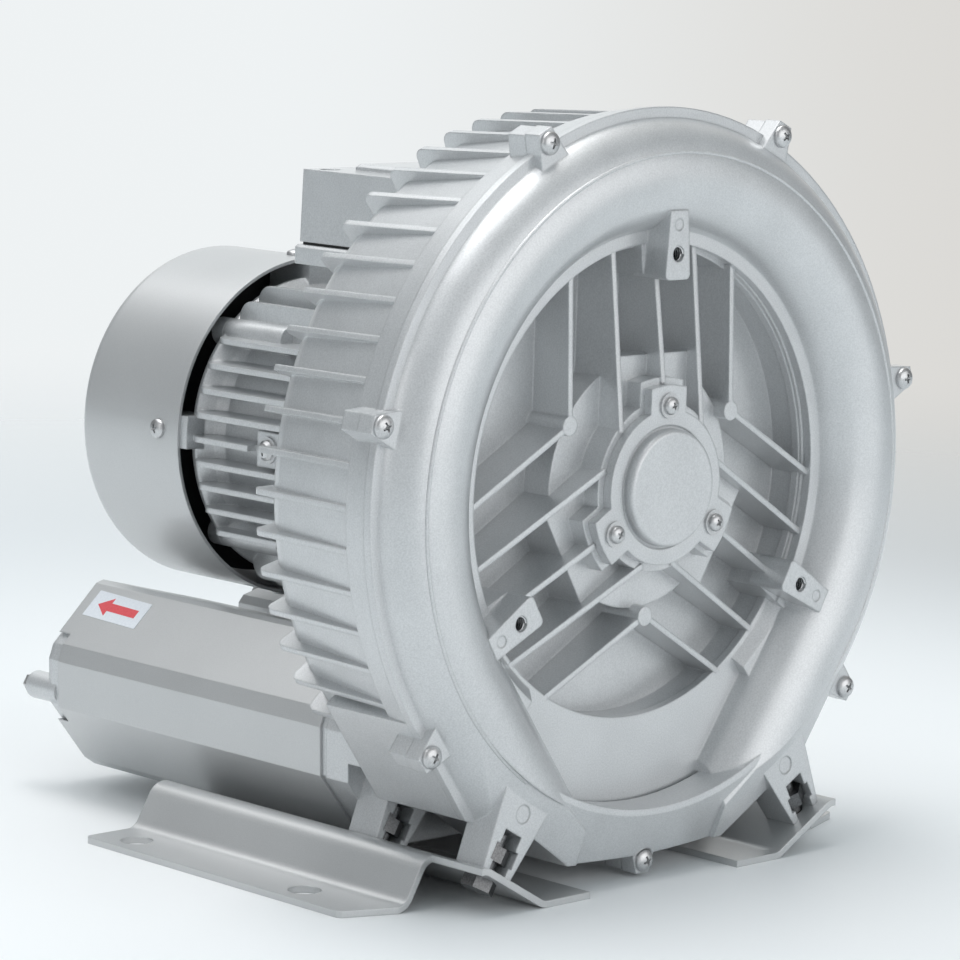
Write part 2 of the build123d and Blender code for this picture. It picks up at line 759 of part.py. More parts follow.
def front_seal():
    return tube(23.5, impeller_seat + 3.0 + running_gap, bearing_back + 2.0,
                bearing_back + 2.0 + seal_width)


def rear_seal():
    return tube(rear_seal_radius, motor_journal + running_gap, back_web_back - seal_width - 1,
                back_web_back - 1)


def motor_frame():
    front = back_web_back
    flange = tube(81.0, 30.0, front, front + 9.0)
    drum = tube(frame_bore + frame_wall, frame_bore, front + 4.0, frame_back)
    pieces = [drum]
    flare = turned([(frame_bore, frame_back - 14.0), (frame_bore + frame_wall, frame_back - 14.0),
                    (frame_bore + frame_wall + 2.0, frame_back - 8.0), (frame_flare_radius,
                                                                        frame_back - 2.0),
                    (frame_flare_radius, frame_back), (frame_bore, frame_back)])
    pieces.append(flare)
    half = frame_fin_thickness / 2
    for side in hub_quarters:
        rows = 4 if side in (0, 90, 180) else 3
        for k in range(-rows, rows + 1):
            offset = k * frame_fin_pitch
            tip = math.sqrt(frame_fin_radius ** 2 - offset ** 2)
            root = math.sqrt((frame_bore + 2) ** 2 - offset ** 2)
            if side == 90 and abs(offset) < box_neck + 4.0:
                continue
            fin = block(root, tip, frame_fins_front, frame_back - 3.0, offset - half, offset + half)
            corner = fin.edges().filter_by(Axis.Z).sort_by(lambda e: -(e.center().X + e.center().Y))[0]
            pieces.append(around(fillet(corner, min(frame_fin_corner, (tip - root) / 2)), side))
        lug = block(frame_bore + 2, cowl_radius - cowl_sheet, frame_lug_front, frame_lug_back,
                    -frame_lug_width / 2,
                    frame_lug_width / 2) & rod(0, 0, cowl_radius - cowl_sheet, 0, 400)
        pieces.append(around(lug, side + cowl_screw_turn))
    for angle in corner_angles:
        x, z = polar(shield_screw_circle, angle)
        pieces.append(rod(x, z, 6.5, frame_back - 40.0, frame_back))
        x, z = polar(motor_bolt_circle, angle)
        pieces.append(rod(x, z, 9.0, front, front + 13.0))
    pieces.append(block(-box_neck, box_neck, box_front + 12, box_back - 12, frame_bore + 1, box_floor - 6))
    boss_x, boss_z = -earth_reach, 0.0
    pieces.append(block(boss_x, -frame_bore, earth_y - 8.0, earth_y + 8.0, boss_z - 8.0, boss_z + 8.0))
    body = flange + pieces
    body -= rod(0, 0, frame_bore, front + 9.0, 400)
    for angle in corner_angles:
        x, z = polar(shield_screw_circle, angle)
        body -= rod(x, z, 2.0, frame_back - 16.0, frame_back + 1)
        x, z = polar(motor_bolt_circle, angle)
        body -= rod(x, z, 4.4, front - 1, front + 14.0)
    for side in hub_quarters:
        body -= around(side_rod(2.0, cowl_radius - 14.0, cowl_radius + 2.0, cowl_screw_depth),
                       side + cowl_screw_turn)
    body -= around(side_rod(2.0, -boss_x - 12.0, -boss_x + 1.0, earth_y), 180)
    body -= block(boss_x - 10.0, boss_x, earth_y - 9.0, earth_y + 9.0, boss_z - 8.5, boss_z + 8.5)
    body -= rod(0, 0, frame_bore + frame_wall + 0.2, frame_back, 400)
    return body


def side_rod(radius, reach_from, reach_to, y):
    # a round bar along the radius at three o'clock
    return Pos((reach_from + reach_to) / 2, y, 0) * Rot(0, 90, 0) * Cylinder(radius, reach_to - reach_from)


def side_head(radius, height, reach, y, cross):
    # the pan head turned to face outwards along the radius at three o'clock
    head = Rot(0, 0, 90) * Pos(0, 0, 0) * pan_head(radius, height, 0, cross)
    return Pos(reach, y, 0) * head


def cowl_screws():
    screws = []
    for side in hub_quarters:
        screw = side_head(4.6, 2.6, cowl_radius, cowl_screw_depth, 4.8)
        screw += side_rod(1.95, cowl_radius - 12.0, cowl_radius, cowl_screw_depth)
        screws.append(around(screw, side + cowl_screw_turn))
    return Compound(screws)


def earth_screw():
    seat = earth_reach
    washer = side_rod(6.0, seat, seat + 1.2, earth_y)
    screw = side_head(4.6, 2.8, seat + 1.2, earth_y, 4.8) + side_rod(1.95, seat - 10.0, seat + 1.2, earth_y)
    return around(washer + screw, 180)


def motor_bolts():
    bolts = []
    seat = back_web_back + 13.0
    for angle in corner_angles:
        x, z = polar(motor_bolt_circle, angle)
        head = rod(0, 0, 6.5, seat, seat + 8.0) - hexagon_rod(6.0, seat + 3.5, seat + 9.0)
        shank = rod(0, 0, 3.35, back_web_back - 9.0, seat)
        bolts.append(Pos(x, 0, z) * (head + shank))
    return Compound(bolts)


def stator_core():
    body = tube(frame_bore, stator_bore, core_front, core_back)
    slot = block(40.0, 51.0, core_front - 1, core_back + 1, -3.2, 3.2)
    return body - [around(slot, 360.0 / slot_count * i) for i in range(slot_count)]


def stator_windings():
    pieces = [tube(54.0, 39.0, core_front - winding_overhang, core_front),
              tube(54.0, 39.0, core_back, core_back + winding_overhang)]
    bar = block(40.6, 50.4, core_front - 1, core_back + 1, -2.6, 2.6)
    bars = [around(bar, 360.0 / slot_count * i) for i in range(slot_count)]
    return pieces[0] + (pieces[1:] + bars)


def rotor_core():
    core = tube(stator_bore - air_gap, motor_journal, core_front, core_back)
    rings = [tube(33.0, 24.0, core_front - 7.0, core_front), tube(33.0, 24.0, core_back, core_back + 7.0)]
    return core + rings


def end_shield():
    body = turned([(rear_outer_radius, frame_back + 2.0), (frame_bore + frame_wall, frame_back),
                   (frame_bore + frame_wall, frame_back + 8.0), (38.0, frame_back + 8.0), (31.0,
                                                                                           shield_back),
                   (22.0, shield_back), (22.0, shield_back - 2.0), (rear_outer_radius, shield_back - 2.0)])
    for angle in corner_angles:
        x, z = polar(shield_screw_circle, angle)
        ear = rod(x, z, 6.5, frame_back, frame_back + 8.0)
        body += ear
    for angle in corner_angles:
        x, z = polar(shield_screw_circle, angle)
        body -= rod(x, z, 2.4, frame_back - 1, frame_back + 9.0)
    return body


def shield_screws():
    screws = []
    seat = frame_back + 8.0
    for angle in corner_angles:
        x, z = polar(shield_screw_circle, angle)
        head = Rot(0, 0, 180) * pan_head(4.6, 2.8, 0, 4.8)
        shank = rod(0, 0, 1.95, -8.0 - 14.0, 0)
        screws.append(Pos(x, seat, z) * (head + shank))
    return Compound(screws)


def fan_cowl():
    r = cowl_radius
    t = cowl_sheet
    k = cowl_rear_round
    arc = k * (1 - math.cos(math.radians(45)))
    outer = make_face([Polyline((r - t, cowl_front), (r, cowl_front), (r, cowl_back - k)),
                       ThreePointArc((r, cowl_back - k), (r - arc, cowl_back - arc), (r - k, cowl_back)),
                       Polyline((r - k, cowl_back), (0, cowl_back), (0, cowl_back - t), (r - k,
                                                                                         cowl_back - t)),
                       ThreePointArc((r - k, cowl_back - t), (r - t - arc * 0.8, cowl_back - t - arc * 0.8),
                                     (r - t, cowl_back - k)),
                       Line((r - t, cowl_back - k), (r - t, cowl_front))])
    body = revolve(outer, Axis.Y)
    for i in range(grille_rings):
        middle = grille_first + grille_pitch * i
        ring = tube(middle + grille_slot / 2, middle - grille_slot / 2, cowl_back - 5, cowl_back + 1)
        spokes = [around(block(0, 90, cowl_back - 6, cowl_back + 2, -2.2, 2.2), 45.0 * j) for j in range(8)]
        body -= ring - spokes
    for side in hub_quarters:
        body -= around(side_rod(2.4, r - 6.0, r + 2.0, cowl_screw_depth), side + cowl_screw_turn)
    return body


def cooling_fan():
    hub = tube(17.0, fan_seat, fan_front, fan_front + 20.0)
    disc = tube(fan_radius, fan_seat, fan_front, fan_front + 3.0)
    blade = block(16.0, fan_radius, fan_front + 1, fan_back, -1.4, 1.4)
    cut = make_face(Polyline((30.0, fan_back + 1), (10.0, fan_back + 1), (10.0, fan_front + 20.0),
                             close=True))
    blade -= Pos(0, 0, -3) * extrude(cut, 6)
    return hub + ([disc] + [around(blade, 360.0 / fan_blades * i) for i in range(fan_blades)])


def fan_clip():
    ring = tube(15.0, fan_seat, fan_front + 20.0, fan_front + 21.5)
    return ring - block(-2.0, 2.0, fan_front + 19, fan_front + 23, 0, 20)


def terminal_box_base():
    neck = block(-box_neck + 3, box_neck - 3, box_front + 9, box_back - 9, box_floor - 6, box_floor + 2)
    rim = block(-box_base_half_width, box_base_half_width, box_front - 3, box_back + 3, box_floor,
                box_joint)
    rim = fillet(rim.edges().filter_by(Axis.Z), 5.0)
    rim = chamfer(rim.faces().sort_by(Axis.Z)[-1].edges(), 1.2)
    body = rim + neck
    hollow = block(-box_half_width + 17, box_half_width - 17, box_front + 8, box_back - 8, box_floor + 3,
                   box_joint + 1)
    body -= hollow
    for x, y in lid_screw_places:
        body -= Pos(x, y, box_joint - 3.0) * Cylinder(2.0, 8.0)
    return body


def terminal_box_gasket():
    x = box_half_width - 1
    outer = block(-x, x, box_front + 1, box_back - 1, box_joint, box_joint + gasket_thickness)
    return outer - block(-x + 5, x - 5, box_front + 6, box_back - 6, box_joint - 1, box_joint + 3)


def terminal_box_lid():
    low = box_joint + gasket_thickness
    half = box_half_width
    bottom = Pos(0, (box_front + box_back) / 2, low) * Rectangle(2 * half, box_back - box_front)
    top = Pos(0, (box_front + box_back) / 2, box_top) * Rectangle(
        2 * (half - box_draft), box_back - box_front - 2 * box_draft)
    body = loft([bottom, top])
    panel = block(-half + 17, half - 17, box_front + 17, box_back - 17, box_top - 1,
                  box_top + box_panel_rise)
    panel = chamfer(panel.faces().sort_by(Axis.Z)[-1].edges(), 1.5)
    boss = Pos(half - 5.0, gland_y, gland_z) * Rot(0, 90, 0) * Cylinder(gland_boss, 11.2)
    body = body + [panel, boss]
    body -= block(-half + 5, half - 5, box_front + 5, box_back - 5, low - 1, box_top - 3.0)
    for x, y in lid_screw_places:
        body += Pos(x, y, (low + box_top) / 2 - 1) * Cylinder(5.0, box_top - low - 2)
        body -= Pos(x, y, (low + box_top) / 2) * Cylinder(2.4, 60)
        body -= Pos(x, y, box_top - lid_screw_sink + 5.0) * Cylinder(4.6, 10.0)
    body -= gland_hole(gland_thread / 2)
    return body


def gland_hole(radius):
    return Pos(box_half_width, gland_y, gland_z) * Rot(0, 90, 0) * Cylinder(radius, 24.0)


def lid_screws():
    screws = []
    for x, y in lid_screw_places:
        head = Rot(-90, 0, 0) * pan_head(4.2, 2.6, 0, 4.4)
        length = box_top - lid_screw_sink - box_joint + 5.0
        shank = Pos(0, 0, -length / 2) * Cylinder(1.95, length)
        screws.append(Pos(x, y, box_top - lid_screw_sink) * (head + shank))
    return Compound(screws)


def cable_gland():
    outside = box_half_width + 0.6
    inside = box_half_width - 5.0
    body = Pos(outside + 3.5, gland_y, gland_z) * Rot(0, 90, 0) * Rot(0, 0, 30) * extrude(
        RegularPolygon(gland_boss, 6), 3.5, both=True)
    dome = Pos(outside + 12.0, gland_y, gland_z) * Rot(0, 90, 0) * Cylinder(11.0, 11.0)
    dome = fillet(dome.edges().filter_by(GeomType.CIRCLE).sort_by(Axis.X)[-1], 3.0)
    thread = Pos((outside + inside) / 2, gland_y, gland_z) * Rot(0, 90, 0) * Cylinder(
        gland_thread / 2 - 0.1, outside - inside + 6.0)
    nut = Pos(inside - 2.5, gland_y, gland_z) * Rot(0, 90, 0) * extrude(RegularPolygon(12.2, 6), 2.5,
                                                                        both=True)
    bore = Pos(outside, gland_y, gland_z) * Rot(0, 90, 0) * Cylinder(5.5, 60)
    return body + [dome, thread, nut] - bore


def terminal_block():
    body = block(-27, 27, (box_front + box_back) / 2 - 15, (box_front + box_back) / 2 + 15, box_floor + 3,
                 box_floor + 14)
    studs = []
    for x in (-17, 0, 17):
        for y in (-8, 8):
            place = Pos(x, (box_front + box_back) / 2 + y, box_floor + 18)
            studs.append(place * Cylinder(2.4, 10))
            studs.append(place * Pos(0, 0, -1.5) * extrude(RegularPolygon(4.4, 6), 3.5))
    return body + studs


def silencer_shell():
    outer = slab(silencer_outline(0), shell_front, shell_back)
    body = outer - slab(silencer_outline(shell_sheet), shell_front - 1, shell_back + 1)
    return body - block(-120.0, -98.0, shell_side_back, shell_back + 1, -137.0, -96.0)


def silencer_liner():
    lining = slab(silencer_outline(shell_sheet), shell_front, shell_back - cap_insert)
    lining -= rod(port_x, port_z, liner_bore, shell_front - 1, shell_back + 1)
    for x, z, seat in tie_bolt_places:
        lining -= rod(x, z, tie_bolt_radius + 0.15, shell_front - 1, shell_back + 1)
    return lining


def silencer_end_cap():
    plate_part = slab(silencer_outline(5.0), shell_back, silencer_end)
    plate_part += slab(silencer_outline(shell_sheet + 1.4), shell_back, silencer_end - 2.5)
    plate_part += slab(silencer_outline(shell_sheet + 0.3), shell_back - cap_insert, shell_back)
    nose = rod(nose_x, nose_z, nose_radius, shell_back - 4.0, nose_end)
    nose = fillet(nose.edges().sort_by(Axis.Y)[-1], 1.5)
    boss = rod(port_x, port_z, port_bore / 2 + 6.7, shell_back, port_mouth)
    boss = chamfer(boss.edges().sort_by(Axis.Y)[-1], 1.5)
    body = plate_part + [nose, boss]
    body -= rod(port_x, port_z, port_bore / 2, shell_back - cap_insert - 1, port_mouth + 1)
    for x, z, seat in tie_bolt_places:
        body -= rod(x, z, tie_bolt_radius + 0.35, shell_back - cap_insert - 1, seat + 1)
    return body


def silencer_bolts(side):
    bolts = []
    for x, z, seat in tie_bolt_places:
        head = hexagon_rod(8.0, seat, seat + 3.5)
        shank = rod(0, 0, tie_bolt_radius, shell_front - 12.0, seat)
        bolts.append(Pos(side * -x, 0, z) * (head + shank))
    return bolts


def foot_bracket():
    half = plate / 2
    floor_z = -shaft_height + half
    wing_angle = math.radians(90.0 - post_angle)
    bend_x = ((wing_reach + half) - shaft_height * math.sin(math.radians(post_angle)) + half * math.sin(
        math.radians(post_angle))) / math.cos(math.radians(post_angle))
    rise = (ridge_x - bend_x) * math.tan(wing_angle)
    path = FilletPolyline((inner_flange_edge - 5.0, floor_z), (bend_x, floor_z), (ridge_x, floor_z + rise),
                          (web_foot_x, floor_z), (outer_flange_edge + 5.0, floor_z), radius=bracket_bend)
    profile = make_face(offset(path, half, side=Side.BOTH))
    length = bracket_back - bracket_wing_front
    body = extrude(Plane.XZ.offset(-bracket_wing_front) * profile, -length)
    body &= block(inner_flange_edge, outer_flange_edge, bracket_wing_front - 1, bracket_back + 1, -200,
                  -100)
    front = bracket_wing_front - 1
    edge = bracket_flange_front
    corner = [(ridge_x - 2.0, front), (ridge_x - 2.0, edge - 10.0), (web_foot_x + 4.0, edge - 10.0),
              (outer_flange_edge + 1, edge), (outer_flange_edge + 1, front)]
    body -= Pos(0, 0, -200) * extrude(make_face(Polyline(*corner, close=True)), 100)
    upright = body.edges().filter_by(Axis.Z).group_by(Axis.X)[-1]
    body = fillet(upright, 3.0)
    for y in (bracket_front_hole, rear_hole_y):
        body -= Pos(bracket_hole_x, y, -shaft_height) * Cylinder(bracket_hole_diameter / 2, 20)
    body = mirrored(body)
    for y in foot_bolt_depths:
        body -= post_rod(foot_thread / 2 + 0.4, y, wing_reach - 3, wing_under + 3)
    return body


def post_rod(radius, y, reach_from, reach_to):
    x, z = from_post((reach_from + reach_to) / 2, -post_offset)
    return Pos(x, y, z) * Rot(0, -90.0 - post_angle, 0) * Cylinder(radius, reach_to - reach_from)


def post_hexagon(width, y, reach_from, reach_to):
    x, z = from_post(reach_from, -post_offset)
    outline = Rot(0, 0, 30) * RegularPolygon(width / math.sqrt(3), 6)
    return Pos(x, y, z) * Rot(0, -90.0 - post_angle, 0) * extrude(outline, reach_to - reach_from)


def foot_bolts():
    bolts = []
    for y in foot_bolt_depths:
        bolt = post_hexagon(foot_nut_width, y, wing_under, wing_under + 5.3)
        bolt += post_rod(foot_thread / 2 - 0.1, y, post_tip_reach - 17.0, wing_under)
        bolts += [bolt, mirrored(bolt)]
    return Compound(bolts)


def foot_nuts():
    nuts = []
    low = post_tip_reach - 5.0
    for y in foot_bolt_depths:
        nut = post_hexagon(foot_nut_width, y, low - foot_nut_height, low)
        nut -= post_rod(foot_thread / 2 - 0.1, y, low - 20, low + 5)
        nuts += [nut, mirrored(nut)]
    return Compound(nuts)


def build_all():
    save("cover", make_cover())
    save("housing", make_housing())
    save("rim_screws", rim_screws())
    save("bearing_cap", bearing_cap())
    save("cap_washers", cap_washers())
    save("cap_screws", cap_screws())
    save("wave_spring", wave_spring())
    outer, inner, balls = bearing(bearing_outer_radius, front_journal, bearing_width, bearing_front,
                                  race_radius,
                                  ball_radius)
    save("front_bearing_outer", outer)
    save("front_bearing_inner", inner)
    save("front_bearing_balls", balls)
    outer, inner, balls = bearing(rear_outer_radius, rear_journal, rear_width, rear_bearing_front,
                                  rear_race_radius,
                                  rear_ball_radius)
    save("rear_bearing_outer", outer)
    save("rear_bearing_inner", inner)
    save("rear_bearing_balls", balls)
    save("motor_shaft", motor_shaft())
    save("impeller", impeller())
    save("impeller_key", impeller_key())
    save("impeller_spacer", impeller_spacer())
    save("front_seal", front_seal())
    save("rear_seal", rear_seal())
    save("motor_frame", motor_frame())
    save("motor_bolts", motor_bolts())
    save("stator_core", stator_core())
    save("stator_windings", stator_windings())
    save("rotor_core", rotor_core())
    save("end_shield", end_shield())
    save("shield_screws", shield_screws())
    save("cooling_fan", cooling_fan())
    save("fan_clip", fan_clip())
    save("fan_cowl", fan_cowl())
    save("cowl_screws", cowl_screws())
    save("earth_screw", earth_screw())
    save("terminal_box_base", terminal_box_base())
    save("terminal_box_gasket", terminal_box_gasket())
    save("terminal_box_lid", terminal_box_lid())
    save("lid_screws", lid_screws())
    save("terminal_block", terminal_block())
    save("cable_gland", cable_gland())
    shell = silencer_shell()
    save("silencer_shell_left", shell)
    save("silencer_shell_right", mirrored(shell))
    liner = silencer_liner()
    save("silencer_liner_left", liner)
    save("silencer_liner_right", mirrored(liner))
    end_cap = silencer_end_cap()
    save("silencer_cap_left", end_cap)
    save("silencer_cap_right", mirrored(end_cap))
    save("silencer_bolts", Compound(silencer_bolts(-1) + silencer_bolts(1)))
    bracket = foot_bracket()
    save("foot_bracket_left", bracket)
    save("foot_bracket_right", mirrored(bracket))
    save("foot_bolts", foot_bolts())
    save("foot_nuts", foot_nuts())


os.makedirs("parts", exist_ok=True)
build_all()
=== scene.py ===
import math

import bpy
from mathutils import Matrix, Vector


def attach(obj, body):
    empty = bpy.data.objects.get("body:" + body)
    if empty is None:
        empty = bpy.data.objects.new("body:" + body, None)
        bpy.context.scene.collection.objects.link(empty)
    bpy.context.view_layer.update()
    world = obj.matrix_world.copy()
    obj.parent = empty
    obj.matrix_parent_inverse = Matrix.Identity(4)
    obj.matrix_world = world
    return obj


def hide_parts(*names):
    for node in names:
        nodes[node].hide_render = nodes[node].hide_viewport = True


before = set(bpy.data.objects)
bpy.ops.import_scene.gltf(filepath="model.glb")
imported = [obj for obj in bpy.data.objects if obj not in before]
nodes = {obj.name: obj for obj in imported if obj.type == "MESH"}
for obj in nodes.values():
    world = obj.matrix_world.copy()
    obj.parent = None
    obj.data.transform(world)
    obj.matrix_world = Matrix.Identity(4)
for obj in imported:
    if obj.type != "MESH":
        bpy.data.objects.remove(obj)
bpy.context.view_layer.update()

mm = 0.001

# helpers


def deselectAll():
    for thing in bpy.context.selected_objects:
        thing.select_set(False)
    bpy.context.view_layer.objects.active = None


def only(thing):
    deselectAll()
    thing.select_set(True)
    bpy.context.view_layer.objects.active = thing


def newMaterial(name):
    material = bpy.data.materials.new(name)
    material.use_nodes = True
    tree = material.node_tree
    return material, tree, tree.nodes["Principled BSDF"]


def setSockets(shader, values):
    for name, value in values.items():
        shader.inputs[name].default_value = value


def dress(nodeNames, material):
    for name in nodeNames:
        slots = nodes[name].material_slots
        for slot in slots:
            slot.material = material
        if not slots:
            nodes[name].data.materials.append(material)


print("stage: finishes")
# finishes

speckle = {
    "grainDetail": 2.0,
    "mottleDetail": 4.0,
    "grainShare": 0.72,
    "mottleShare": 0.28,
    "low": 0.35,
    "high": 0.65,
}


def mathNode(tree, operation, *values):
    # values are numbers or the outputs of other nodes
    node = tree.nodes.new("ShaderNodeMath")
    node.operation = operation
    for slot, value in zip(node.inputs, values):
        if isinstance(value, float):
            slot.default_value = value
        else:
            tree.links.new(value, slot)
    return node.outputs[0]


def mixColors(tree, mask, first, second):
    # a mix's colour slots are numbers 6 and 7, its colour output number 2
    mix = tree.nodes.new("ShaderNodeMix")
    mix.data_type = "RGBA"
    tree.links.new(mask, mix.inputs["Factor"])
    for slot, value in ((6, first), (7, second)):
        if isinstance(value, tuple):
            mix.inputs[slot].default_value = (*value, 1)
        else:
            tree.links.new(value, mix.inputs[slot])
    return mix.outputs[2]


def addNoise(tree, vector, scale, detail):
    noise = tree.nodes.new("ShaderNodeTexNoise")
    noise.inputs["Detail"].default_value = detail
    tree.links.new(vector, noise.inputs["Vector"])
    tree.links.new(scale, noise.inputs["Scale"])
    return noise.outputs["Fac"]


def buildGrainGroup():
    # fine speckle of a paint or metal: puts out a colour, a roughness and a height
    group = bpy.data.node_groups.new("paintGrain", "ShaderNodeTree")
    for name in ("Grain Size", "Mottle Size", "Roughness", "Roughness Spread"):
        group.interface.new_socket(name=name, in_out="INPUT", socket_type="NodeSocketFloat")
    for name in ("Dark", "Light"):
        group.interface.new_socket(name=name, in_out="INPUT", socket_type="NodeSocketColor")
    for name, kind in (("Color", "Color"), ("Roughness", "Float"), ("Height", "Float")):
        group.interface.new_socket(name=name, in_out="OUTPUT", socket_type="NodeSocket" + kind)
    ins = group.nodes.new("NodeGroupInput").outputs
    outs = group.nodes.new("NodeGroupOutput").inputs
    place = group.nodes.new("ShaderNodeTexCoord").outputs["Object"]
    grain = addNoise(group, place, ins["Grain Size"], speckle["grainDetail"])
    mottle = addNoise(group, place, ins["Mottle Size"], speckle["mottleDetail"])
    part = mathNode(group, "MULTIPLY", mottle, speckle["mottleShare"])
    both = mathNode(group, "MULTIPLY_ADD", grain, speckle["grainShare"], part)
    spread = group.nodes.new("ShaderNodeMapRange")
    spread.inputs["From Min"].default_value = speckle["low"]
    spread.inputs["From Max"].default_value = speckle["high"]
    group.links.new(both, spread.inputs["Value"])
    mask = spread.outputs["Result"]
    group.links.new(mixColors(group, mask, ins["Dark"], ins["Light"]), outs["Color"])
    centred = mathNode(group, "SUBTRACT", mask, 0.5)
    rough = mathNode(group, "MULTIPLY_ADD", centred, ins["Roughness Spread"], ins["Roughness"])
    group.links.new(rough, outs["Roughness"])
    group.links.new(grain, outs["Height"])
    return group


grainGroup = buildGrainGroup()


def grainFinish(name, look):
    material, tree, shader = newMaterial(name)
    grain = tree.nodes.new("ShaderNodeGroup")
    grain.node_tree = grainGroup
    for key in ("Grain Size", "Mottle Size", "Roughness", "Roughness Spread"):
        grain.inputs[key].default_value = look[key]
    grain.inputs["Dark"].default_value = (*look["dark"], 1)
    grain.inputs["Light"].default_value = (*look["light"], 1)
    tree.links.new(grain.outputs["Color"], shader.inputs["Base Color"])
    tree.links.new(grain.outputs["Roughness"], shader.inputs["Roughness"])
    bump = tree.nodes.new("ShaderNodeBump")
    bump.inputs["Strength"].default_value = look["bump"]
    bump.inputs["Distance"].default_value = look["bumpDepth"]
    tree.links.new(grain.outputs["Height"], bump.inputs["Height"])
    if look["edgeRadius"] > 0:
        edge = tree.nodes.new("ShaderNodeBevel")
        edge.samples = 4
        edge.inputs["Radius"].default_value = look["edgeRadius"]
        tree.links.new(edge.outputs["Normal"], bump.inputs["Normal"])
    tree.links.new(bump.outputs["Normal"], shader.inputs["Normal"])
    setSockets(shader, look["sockets"])
    return material


castPaint = grainFinish("castPaint", {
    "Grain Size": 1400.0, "Mottle Size": 45.0, "Roughness": 0.40, "Roughness Spread": 0.07,
    "dark": (0.55, 0.558, 0.566), "light": (0.66, 0.668, 0.676), "bump": 0.12, "bumpDepth": 0.0003,
    "edgeRadius": 0.0013, "sockets": {"Metallic": 0.6, "Coat Weight": 0.6, "Coat Roughness": 0.14}})
sheetPaint = grainFinish("sheetPaint", {
    "Grain Size": 2400.0, "Mottle Size": 20.0, "Roughness": 0.36, "Roughness Spread": 0.04,
    "dark": (0.545, 0.548, 0.55), "light": (0.60, 0.603, 0.605), "bump": 0.05, "bumpDepth": 0.0002,
    "edgeRadius": 0.0008, "sockets": {"Metallic": 0.60, "Coat Weight": 0.3, "Coat Roughness": 0.2}})
zincPlate = grainFinish("zincPlate", {
    "Grain Size": 1500.0, "Mottle Size": 120.0, "Roughness": 0.34, "Roughness Spread": 0.08,
    "dark": (0.50, 0.505, 0.51), "light": (0.64, 0.645, 0.65), "bump": 0.05, "bumpDepth": 0.0001,
    "edgeRadius": 0.0, "sockets": {"Metallic": 1.0}})
groundSteel = grainFinish("groundSteel", {
    "Grain Size": 1100.0, "Mottle Size": 70.0, "Roughness": 0.28, "Roughness Spread": 0.08,
    "dark": (0.48, 0.49, 0.50), "light": (0.60, 0.61, 0.62), "bump": 0.05, "bumpDepth": 0.0001,
    "edgeRadius": 0.0, "sockets": {"Metallic": 1.0}})
darkZinc = grainFinish("darkZinc", {
    "Grain Size": 1300.0, "Mottle Size": 90.0, "Roughness": 0.34, "Roughness Spread": 0.10,
    "dark": (0.12, 0.122, 0.125), "light": (0.22, 0.222, 0.225), "bump": 0.08, "bumpDepth": 0.0001,
    "edgeRadius": 0.0, "sockets": {"Metallic": 1.0}})
blackRubber = grainFinish("blackRubber", {
    "Grain Size": 900.0, "Mottle Size": 60.0, "Roughness": 0.7, "Roughness Spread": 0.1,
    "dark": (0.012, 0.012, 0.012), "light": (0.03, 0.03, 0.03), "bump": 0.2, "bumpDepth": 0.0002,
    "edgeRadius": 0.0, "sockets": {"Metallic": 0.0}})
blackPlastic = grainFinish("blackPlastic", {
    "Grain Size": 1600.0, "Mottle Size": 60.0, "Roughness": 0.5, "Roughness Spread": 0.08,
    "dark": (0.018, 0.018, 0.02), "light": (0.035, 0.035, 0.038), "bump": 0.15, "bumpDepth": 0.0002,
    "edgeRadius": 0.0, "sockets": {"Metallic": 0.0}})
greyPlastic = grainFinish("greyPlastic", {
    "Grain Size": 1600.0, "Mottle Size": 60.0, "Roughness": 0.45, "Roughness Spread": 0.08,
    "dark": (0.20, 0.21, 0.22), "light": (0.26, 0.27, 0.28), "bump": 0.12, "bumpDepth": 0.0002,
    "edgeRadius": 0.0, "sockets": {"Metallic": 0.0}})
bareCasting = grainFinish("bareCasting", {
    "Grain Size": 1000.0, "Mottle Size": 60.0, "Roughness": 0.34, "Roughness Spread": 0.1,
    "dark": (0.60, 0.61, 0.62), "light": (0.74, 0.75, 0.76), "bump": 0.15, "bumpDepth": 0.0002,
    "edgeRadius": 0.0, "sockets": {"Metallic": 1.0}})
stackedIron = grainFinish("stackedIron", {
    "Grain Size": 700.0, "Mottle Size": 90.0, "Roughness": 0.55, "Roughness Spread": 0.1,
    "dark": (0.10, 0.10, 0.11), "light": (0.17, 0.17, 0.18), "bump": 0.2, "bumpDepth": 0.0002,
    "edgeRadius": 0.0, "sockets": {"Metallic": 0.8}})
copperWire = grainFinish("copperWire", {
    "Grain Size": 500.0, "Mottle Size": 120.0, "Roughness": 0.35, "Roughness Spread": 0.1,
    "dark": (0.40, 0.13, 0.05), "light": (0.62, 0.25, 0.10), "bump": 0.3, "bumpDepth": 0.0004,
    "edgeRadius": 0.0, "sockets": {"Metallic": 0.9}})
foamFill = grainFinish("foamFill", {
    "Grain Size": 420.0, "Mottle Size": 60.0, "Roughness": 0.9, "Roughness Spread": 0.05,
    "dark": (0.03, 0.03, 0.032), "light": (0.08, 0.08, 0.085), "bump": 0.6, "bumpDepth": 0.001,
    "edgeRadius": 0.0, "sockets": {"Metallic": 0.0}})

